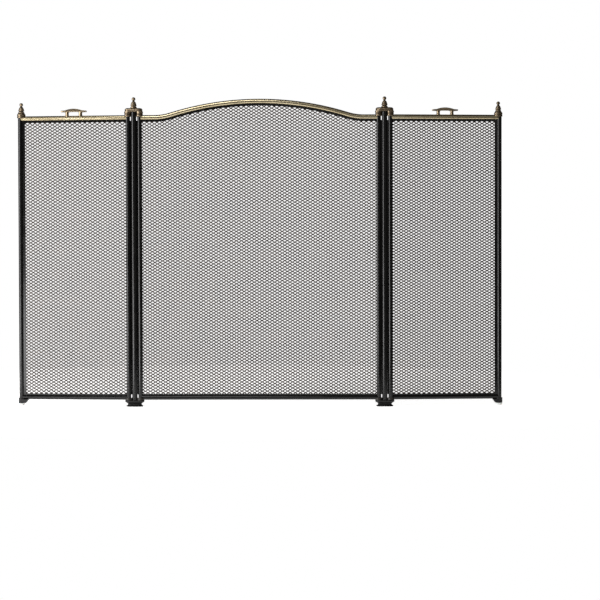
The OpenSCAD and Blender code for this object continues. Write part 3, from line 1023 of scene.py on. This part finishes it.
@dataclass
class ArchedRail:
    """The centre panel's brass rail: one tube bent to two hollow curves and a broad crown."""

    upright_x: float = 233.0 * MM
    rise: float = 31.0 * MM
    shoulder: float = 28.0 * MM
    hollow: float = 112.0 * MM
    tube: float = 4.7 * MM
    upright_tube: float = 4.52 * MM
    swing: float = 7.5 * MM
    swing_from: float = 565.5 * MM
    hollow_steps: int = 10
    crown_steps: int = 48

    def build(self, finish: Paint) -> Piece:
        """Bends the rail in its place.

        Args:
            finish: its brass.

        Returns:
            The rail.
        """
        low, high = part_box("centre_top_rail")
        depth = (low.y + high.y) / 2
        level = high.z - self.rise - self.tube
        foot = self.upright_x - self.shoulder
        angle = 2 * math.atan(self.rise / foot)
        crown = foot / math.sin(angle) - self.hollow
        start = self.upright_x - self.tube / 2
        Bench.clear()
        bpy.ops.mesh.primitive_circle_add(
            vertices=40,
            radius=self.tube,
            fill_type="NOTHING",
            location=(start, depth, level),
            rotation=(0, math.pi / 2, 0),
        )
        rail = Bench.named("arched_brass_rail")
        Bench.settle(rail)
        Bench.edit(rail, Selection.EDGES, True)
        bpy.ops.mesh.extrude_region_move(TRANSFORM_OT_translate={"value": (foot - start, 0, 0)})
        for steps, turn, x, z in (
            (self.hollow_steps, -angle, foot, level + self.hollow),
            (self.crown_steps, 2 * angle, 0.0, level + self.rise - crown),
            (self.hollow_steps, -angle, -foot, level + self.hollow),
        ):
            bpy.ops.mesh.spin(steps=steps, angle=turn, center=(x, depth, z), axis=(0, 1, 0))
        bpy.ops.mesh.extrude_region_move(TRANSFORM_OT_translate={"value": (foot - start, 0, 0)})
        for side in Side:
            Bench.pick(rail, lambda p: p.x * side.value > start - 0.01 * MM)
            bpy.ops.mesh.edge_face_add()
        Bench.close()
        Bench.outward(rail)
        drills = []
        for side in Side:
            x = side.value * self.upright_x
            drills.append(Bench.drill(self.upright_tube, (x, depth, level - DRILL / 2)))
            drills.append(Bench.drill(self.swing, (x, depth, self.swing_from)))
        Bench.carve(rail, drills)
        return Mount("centre_panel", "centre_top_rail", "brass").hold(rail, finish, 40)


# ---- hinges


@dataclass
class Finial:
    """Turned finial: base ring, beaded cone, slim neck and ball."""

    body: str
    node: str
    stands_at: float
    ball: float = 0.60
    tip: float = 0.03
    relief: float = 0.30
    outline: Profile = field(
        default_factory=lambda: Profile(
            [
                (0.90, 0.000), (1.00, 0.030), (1.00, 0.085), (0.90, 0.115), (0.74, 0.135),
                (0.72, 0.165), (0.84, 0.185), (0.98, 0.205), (1.00, 0.245), (0.96, 0.285),
                (0.86, 0.305), (0.82, 0.325), (0.88, 0.345), (0.90, 0.370), (0.84, 0.400),
                (0.74, 0.415), (0.71, 0.435), (0.76, 0.455), (0.76, 0.480), (0.69, 0.510),
                (0.55, 0.560), (0.42, 0.605), (0.33, 0.635), (0.30, 0.665),
            ]
        )
    )

    def build(self, finish: Paint) -> Piece:
        """Turns the finial in its place.

        Args:
            finish: its bronze.

        Returns:
            The finial.
        """
        low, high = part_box(self.node)
        radius, height = (high.x - low.x) / 2, high.z - self.stands_at
        centre = 1 - self.ball * radius / height
        arc = [
            (self.ball * math.cos(a), centre + self.ball * radius / height * math.sin(a))
            for a in (math.radians(d) for d in range(-54, 90, 9))
        ]
        outline = Profile([*self.outline.softened().points, *arc, (self.tip, 1.0)])
        name = self.node.replace("finial", "turned_finial")
        foot = middle_of(self.node, self.stands_at)
        piece = outline.sized(radius, height).made(name, foot)
        Bench.rub(piece, self.relief)
        return Mount(self.body, self.node, "bronze").hold(piece, finish, 50)


@dataclass
class HingeCasting:
    """What the cap and the foot of a hinge share: bored rings round its two uprights and post."""

    side: Side
    ring: float = 7.0 * MM
    bore: float = 4.9 * MM
    post: float = 5.32 * MM
    washer: float = 4.5 * MM
    relief: float = 0.22

    def reach(self) -> float:
        """The distance from the hinge's middle to an upright's axis."""
        low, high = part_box(f"{self.side.word}_hinge_washers")
        return (high.x - low.x) / 2 - self.washer

    def cast(self, parts: Sequence[Piece], mount: Mount, finish: Paint) -> Piece:
        """Joins the parts of the casting and dresses it.

        Args:
            parts: its parts.
            mount: where it belongs.
            finish: its finish.

        Returns:
            The casting.
        """
        for part in parts:
            Bench.rub(part, self.relief)
        return mount.hold(Bench.join(parts, f"{mount.node}_casting"), finish, 42)


@dataclass
class HingeCap(HingeCasting):
    """Bronze casting over a hinge: a rounded plate with a finial's seat, over two open cups."""

    plate_from: float = 575.0 * MM
    plate_to: float = 583.0 * MM
    half_length: float = 17.5 * MM
    cup_depth: float = 9.5 * MM

    def build(self, finish: Paint) -> Piece:
        """Casts the cap in its place.

        Args:
            finish: its bronze.

        Returns:
            The cap.
        """
        node = f"{self.side.word}_hinge_cap"
        low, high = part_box(node)
        wide = (high.y - low.y) / 2
        foot = middle_of(node, self.plate_from)
        plate = Profile.drawn(
            [
                (-0.9, 0.0), (-0.25, 0.15), (0.0, 0.8), (0.0, 2.2), (-0.5, 2.6), (-0.55, 3.0),
                (-0.1, 3.4), (-0.15, 4.4), (-0.7, 5.7), (-1.8, 6.8), (-3.2, 7.3), (-4.6, 7.45),
            ],
            wide,
        ).softened(2)
        seat = Profile.drawn(
            [(7.6, -0.9), (7.4, -0.35), (6.9, -0.05), (6.2, 0.0)],
            height=self.plate_to - self.plate_from,
        ).softened()
        parts = [
            plate.made(f"{node}_plate", foot, self.half_length - wide, 48),
            seat.made(f"{node}_seat", foot),
        ]
        cup = Profile.drawn(
            [
                (-0.5, 0.0), (-0.1, 0.3), (0.0, 0.9), (0.0, 1.8), (-0.5, 2.2), (-0.5, 6.8),
                (-0.1, 8.0), (0.0, 9.4),
            ],
            self.ring,
        ).softened()
        start = low.z - OVERRUN
        to_plate = self.plate_from - low.z + 0.9 * MM
        for way in Side:
            rim = middle_of(node, low.z) + Vector((way.value * self.reach(), 0, 0))
            parts.append(cup.made(f"{node}_cup", rim))
            drills = [
                Bench.drill(self.bore, (rim.x, rim.y, start), self.cup_depth),
                Bench.drill(self.post, (foot.x, foot.y, start), to_plate),
            ]
            Bench.carve(parts[-1], drills)
        return self.cast(parts, Mount(f"{self.side.word}_hinge", node, "bronze"), finish)


@dataclass
class HingeFoot(HingeCasting):
    """Black casting under a hinge: base, drawn-in waist and a flared bowl round two sleeves and the
    post's bore.
    """

    inset: float = 8.0 * MM
    floor: float = 10.0 * MM
    sleeve: float = 7.0 * MM
    recess: float = 3.6 * MM
    recess_depth: float = 3.4 * MM

    def build(self, finish: Paint) -> Piece:
        """Casts the foot in its place.

        Args:
            finish: its enamel.

        Returns:
            The foot.
        """
        node = f"{self.side.word}_hinge_foot"
        middle = middle_of(node, 0)
        x, y = middle.x, middle.y
        bowl = Profile.drawn(
            [
                (8.3, 0.0), (8.75, 0.25), (8.8, 0.9), (8.55, 1.6), (7.4, 2.3), (6.2, 3.2),
                (5.4, 4.3), (5.5, 5.4), (6.5, 6.6), (8.3, 7.7), (9.8, 8.7), (10.55, 9.6),
                (10.8, 10.5), (10.8, 11.8), (10.5, 12.35), (10.1, 12.5),
            ]
        ).softened(2)
        parts = [bowl.made(f"{node}_bowl", middle, self.inset, 56)]
        drills = [
            Bench.drill(self.recess, (x, y, -OVERRUN), self.recess_depth + OVERRUN),
            Bench.drill(self.post, (x, y, self.floor)),
        ]
        start = self.floor - OVERRUN
        sleeve = Profile(
            [
                (self.ring, 0.0),
                (self.ring, self.sleeve + LAP),
                (self.ring - 0.5 * MM, self.sleeve + OVERRUN),
            ]
        )
        for way in Side:
            axis = x + way.value * self.reach()
            drills.append(Bench.drill(self.bore, (axis, y, self.floor)))
            parts.append(sleeve.made(f"{node}_sleeve", Vector((axis, y, start))))
            bores = [
                Bench.drill(self.bore, (axis, y, start - OVERRUN)),
                Bench.drill(self.post, (x, y, start - OVERRUN)),
            ]
            Bench.carve(parts[-1], bores)
        Bench.carve(parts[0], drills)
        return self.cast(parts, Mount(f"{self.side.word}_hinge", node, "black_frame"), finish)


# ---- side panels


@dataclass
class EndCollar:
    """Turned bronze collar over an outer upright, under its finial."""

    side: Side
    wide: float = 8.3 * MM
    relief: float = 0.22

    def build(self, finish: Paint) -> Piece:
        """Turns the collar in its place.

        Args:
            finish: its bronze.

        Returns:
            The collar.
        """
        node = f"{self.side.word}_end_collar"
        low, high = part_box(node)
        outline = Profile.drawn(
            [
                (-0.7, 0.0), (-0.1, 0.3), (0.0, 0.9), (0.0, 1.7), (-0.35, 2.1), (-0.35, 4.6),
                (0.0, 5.1), (0.0, 6.4), (-0.5, 7.3), (-1.1, 7.9), (-1.4, 8.6), (-1.7, 9.3),
            ],
            self.wide,
        )
        outline.points.append((self.wide - 2.2 * MM, high.z - low.z))
        foot = middle_of(node, low.z)
        collar = outline.softened(2).made(f"{node}_turned", foot, corners=48)
        Bench.rub(collar, self.relief)
        return Mount(f"{self.side.word}_panel", node, "bronze").hold(collar, finish, 42)


@dataclass
class CarryHandle:
    """Cast carry handle: thin wings, a bowed grip and two waisted posts on the top rail."""

    side: Side
    length: float = 51.0 * MM
    depth: float = 8.0 * MM
    rise: float = 3.2 * MM
    grip: float = 17.1 * MM
    post: float = 3.7 * MM
    span: float = 26.8 * MM
    slices: int = 24
    under: float = 0.9 * MM
    rounding: float = 0.9 * MM
    thinned: float = 0.55 * MM
    tapered: float = 0.22

    def build(self, finish: Paint, turn: float) -> list[Piece]:
        """Casts the handle in its place.

        Args:
            finish: its brass.
            turn: how far its panel is folded, about z.

        Returns:
            The bar and its posts.
        """
        word = self.side.word
        low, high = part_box(f"{word}_handle_bar")
        rail_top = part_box(f"{word}_top_rail")[1].z
        bar = self._bar(word, high.z - low.z)
        middle = middle_of(f"{word}_handle_bar", low.z)
        place = Matrix.Translation(middle) @ Matrix.Rotation(turn, 4, "Z")
        bar.data.transform(place)
        posts = []
        for way in Side:
            foot = place @ Vector((way.value * self.span / 2, 0, 0))
            foot.z = rail_top
            posts.append(self._post(word, way, foot, low.z + LAP))
        parts = {"bar": bar, "posts": Bench.join(posts, f"{word}_grip_posts")}
        return [
            Mount(f"{word}_panel", f"{word}_handle_{part}", "brass").hold(piece, finish, 40)
            for part, piece in parts.items()
        ]

    def _bar(self, word: str, tall: float) -> Piece:
        """Draws out the bar about the middle of its underside.

        Args:
            word: the side's name.
            tall: its height at the crown.

        Returns:
            The bar.
        """
        Bench.clear()
        thick = tall - self.rise
        bpy.ops.mesh.primitive_cube_add(size=1, location=(0, 0, tall / 2 - self.rise / 2))
        bar = Bench.named(f"{word}_grip_bar")
        bar.scale = (self.length, self.depth, thick)
        Bench.settle(bar)
        for cut in np.linspace(-0.5, 0.5, self.slices + 1)[1:-1]:
            Bench.edit(bar, Selection.FACES, True)
            bpy.ops.mesh.bisect(plane_co=(cut * self.length, 0, 0), plane_no=(1, 0, 0))
            Bench.close()
        opening = self.span / 2 - self.post
        for spot in (v.co for v in bar.data.vertices):
            share, top = abs(spot.x), spot.z > thick / 2
            if top:
                spot.z += self.rise * max(0.0, 1 - (share / self.grip) ** 2)
            elif share < opening:
                spot.z += self.under * (1 - (share / opening) ** 6) ** 0.5
            tip = max(0.0, (share - self.grip) / (self.length / 2 - self.grip))
            spot.z += (self.thinned * tip) * (-1 if top else 1)
            spot.y *= 1 - self.tapered * tip**2
        edges = {"limit_method": "ANGLE", "angle_limit": math.radians(50)}
        Bench.modify(bar, "BEVEL", width=self.rounding, segments=3, **edges)
        Bench.outward(bar)
        return bar

    def _post(self, word: str, way: Side, foot: Vector, top: float) -> Piece:
        """Turns one post, its foot let into the rail.

        Args:
            word: the side's name.
            way: which of the two posts.
            foot: its middle at the top of the rail.
            top: the height of its upper end.

        Returns:
            The post.
        """
        tall, wide = top - foot.z, self.post
        outline = Profile(
            [
                (wide + 0.05 * MM, -3.2 * MM), (wide + 0.05 * MM, 0.5 * MM),
                (wide - 0.3 * MM, 1.0 * MM), (wide - 0.45 * MM, 0.5 * tall),
                (wide - 0.2 * MM, 0.85 * tall), (wide + 0.1 * MM, tall),
            ]
        ).softened(2)
        return outline.made(f"{word}_grip_post_{way.word}", foot, corners=36)


# ---- studio


@dataclass
class Softbox:
    """One soft light: where it hangs, the point that it faces, its size and its power in watts."""

    name: str
    spot: Sequence[float]
    aim: Sequence[float]
    size: tuple[float, float]
    power: float

    def hang(self) -> None:
        """Hangs the light."""
        Bench.clear()
        bpy.ops.object.light_add(type="AREA", location=self.spot)
        light = bpy.context.object
        light.name = self.name
        towards = Vector(self.aim) - Vector(self.spot)
        light.rotation_euler = towards.to_track_quat("-Z", "Y").to_euler()
        light.data.shape = "RECTANGLE"
        light.data.size, light.data.size_y = self.size
        light.data.energy = self.power


@dataclass
class Studio:
    """Pale floor, soft lights and the camera."""

    eye: Vector = field(default_factory=lambda: Vector((0.11988, -3.12314, 0.27507)))
    right: Vector = field(default_factory=lambda: Vector((0.99991258, 0.01301745, -0.00231799)))
    up: Vector = field(default_factory=lambda: Vector((0.00203614, 0.02162339, 0.99976411)))
    lens: float = 95.764
    floor_radius: float = 0.95
    floor_middle: Sequence[float] = (-0.10, 0.35, 0.0)
    overhead: Colour = (0.03, 0.028, 0.026)
    level: Colour = (0.13, 0.125, 0.12)

    def build(self, paint: Paint) -> None:
        """Sets the stage.

        Args:
            paint: the floor's paint.
        """
        self._floor(paint)
        self._sky()
        for light in (
            Softbox("window", (-1.45, -0.80, 0.50), (-0.15, 0.0, 0.36), (0.60, 1.6), 30.0),
            Softbox("front_fill", (0.9, -4.6, 1.5), (0.0, 0.0, 0.3), (2.2, 1.6), 4.0),
            Softbox("key", (-0.45, -1.65, 2.0), (-0.05, 0.0, 0.58), (0.9, 0.9), 13.0),
            Softbox("low_panel", (-0.92, -1.35, 0.06), (-0.40, 0.0, 0.567), (0.50, 0.30), 3.4),
            Softbox("rear_fill", (0.4, 3.4, 1.6), (0.0, 0.0, 0.3), (2.2, 1.6), 8.0),
        ):
            light.hang()
        self._camera()
        bpy.context.scene.view_settings.view_transform = "Standard"

    def _floor(self, paint: Paint) -> None:
        """Lays the floor.

        Args:
            paint: its paint.
        """
        Bench.clear()
        bpy.ops.mesh.primitive_circle_add(
            vertices=96, radius=self.floor_radius, fill_type="NGON", location=self.floor_middle
        )
        floor = Bench.named("studio_floor")
        floor.data.materials.append(paint)

    def _sky(self) -> None:
        """Makes the room: white where it is seen, soft and darker overhead in its light."""
        p = Palette("studio_room", bpy.data.worlds)
        bpy.context.scene.world = p.owner
        height = p.add("SeparateXYZ", {0: p.add("TexCoord").outputs["Generated"]}).outputs["Z"]
        tone = p.add("ValToRGB", {0: height}, stops=((0.05, self.level), (0.75, self.overhead)))
        room = p.add("Background", {0: tone.outputs[0], 1: 1.0}).outputs[0]
        seen = p.add("Background", {0: (1, 1, 1, 1), 1: 1.0}).outputs[0]
        straight = p.add("LightPath").outputs["Is Camera Ray"]
        mixed = p.add("MixShader", {0: straight, 1: room, 2: seen}).outputs[0]
        p.add("OutputWorld", {0: mixed})

    def _camera(self) -> None:
        """Stands the camera in front of the screen."""
        Bench.clear()
        bpy.ops.object.camera_add(location=self.eye)
        camera = bpy.context.object
        back = self.right.cross(self.up)
        turn = Matrix((self.right, self.up, back)).transposed().to_4x4()
        camera.matrix_world = Matrix.Translation(self.eye) @ turn
        camera.data.lens = self.lens
        camera.data.sensor_width = 36.0
        camera.data.clip_end = 200.0
        camera.data.dof.use_dof = False
        bpy.context.scene.camera = camera


# ---- the whole screen


@dataclass
class FireplaceScreen:
    """The whole screen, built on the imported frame."""

    frame: dict[str, Any]
    fold: float = math.radians(5.0)
    pivot_x: float = 256.0 * MM
    depth: float = -8.0 * MM
    cap_top: float = 583.0 * MM
    collar_top: float = 575.4 * MM

    def build(self) -> None:
        """Paints the frame's nodes and builds every modelled piece."""
        finishes = Finishes()
        for name, node in self.frame["nodes"].items():
            node.data.materials.clear()
            node.data.materials.append(finishes.of_node(name))
        pieces = [
            ExpandedSheet("centre_panel", "centre_mesh").build(finishes.sheet),
            ArchedRail().build(finishes.brass),
        ]
        pieces += self._wing(Side.LEFT, 6.15 * MM, 1.71 * MM, finishes)
        pieces += self._wing(Side.RIGHT, 5.75 * MM, 1.80 * MM, finishes)
        for piece in pieces:
            piece.data.calc_loop_triangles()
            log.info("%s: %d triangles", piece.name, len(piece.data.loop_triangles))
        Studio().build(finishes.floor)

    def _wing(self, side: Side, pitch: float, strand: float, finishes: Finishes) -> list[Piece]:
        """Builds one side panel and its hinge.

        Args:
            side: which one.
            pitch: the short pitch of its mesh.
            strand: the width of its strands.
            finishes: every finish.

        Returns:
            Its modelled pieces.
        """
        turn, panel, hinge = side.value * self.fold, f"{side.word}_panel", f"{side.word}_hinge"
        axis = Vector((side.value * self.pivot_x, self.depth, 0))
        sheet = ExpandedSheet(
            panel, f"{side.word}_mesh", short_pitch=pitch, strand=strand, hinge=axis, turn=turn
        )
        return [
            sheet.build(finishes.sheet),
            HingeCap(side).build(finishes.bronze),
            HingeFoot(side).build(finishes.iron),
            Finial(hinge, f"{hinge}_finial", self.cap_top).build(finishes.bronze),
            EndCollar(side).build(finishes.bronze),
            Finial(panel, f"{side.word}_end_finial", self.collar_top).build(finishes.bronze),
            *CarryHandle(side).build(finishes.handle, turn),
        ]


def main() -> None:
    """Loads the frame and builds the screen."""
    logging.basicConfig(level=logging.INFO, format="%(name)s: %(message)s")
    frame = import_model()
    FireplaceScreen(frame).build()
    Bench.clear()
    bpy.context.view_layer.update()


if __name__ == "__main__":
    main()
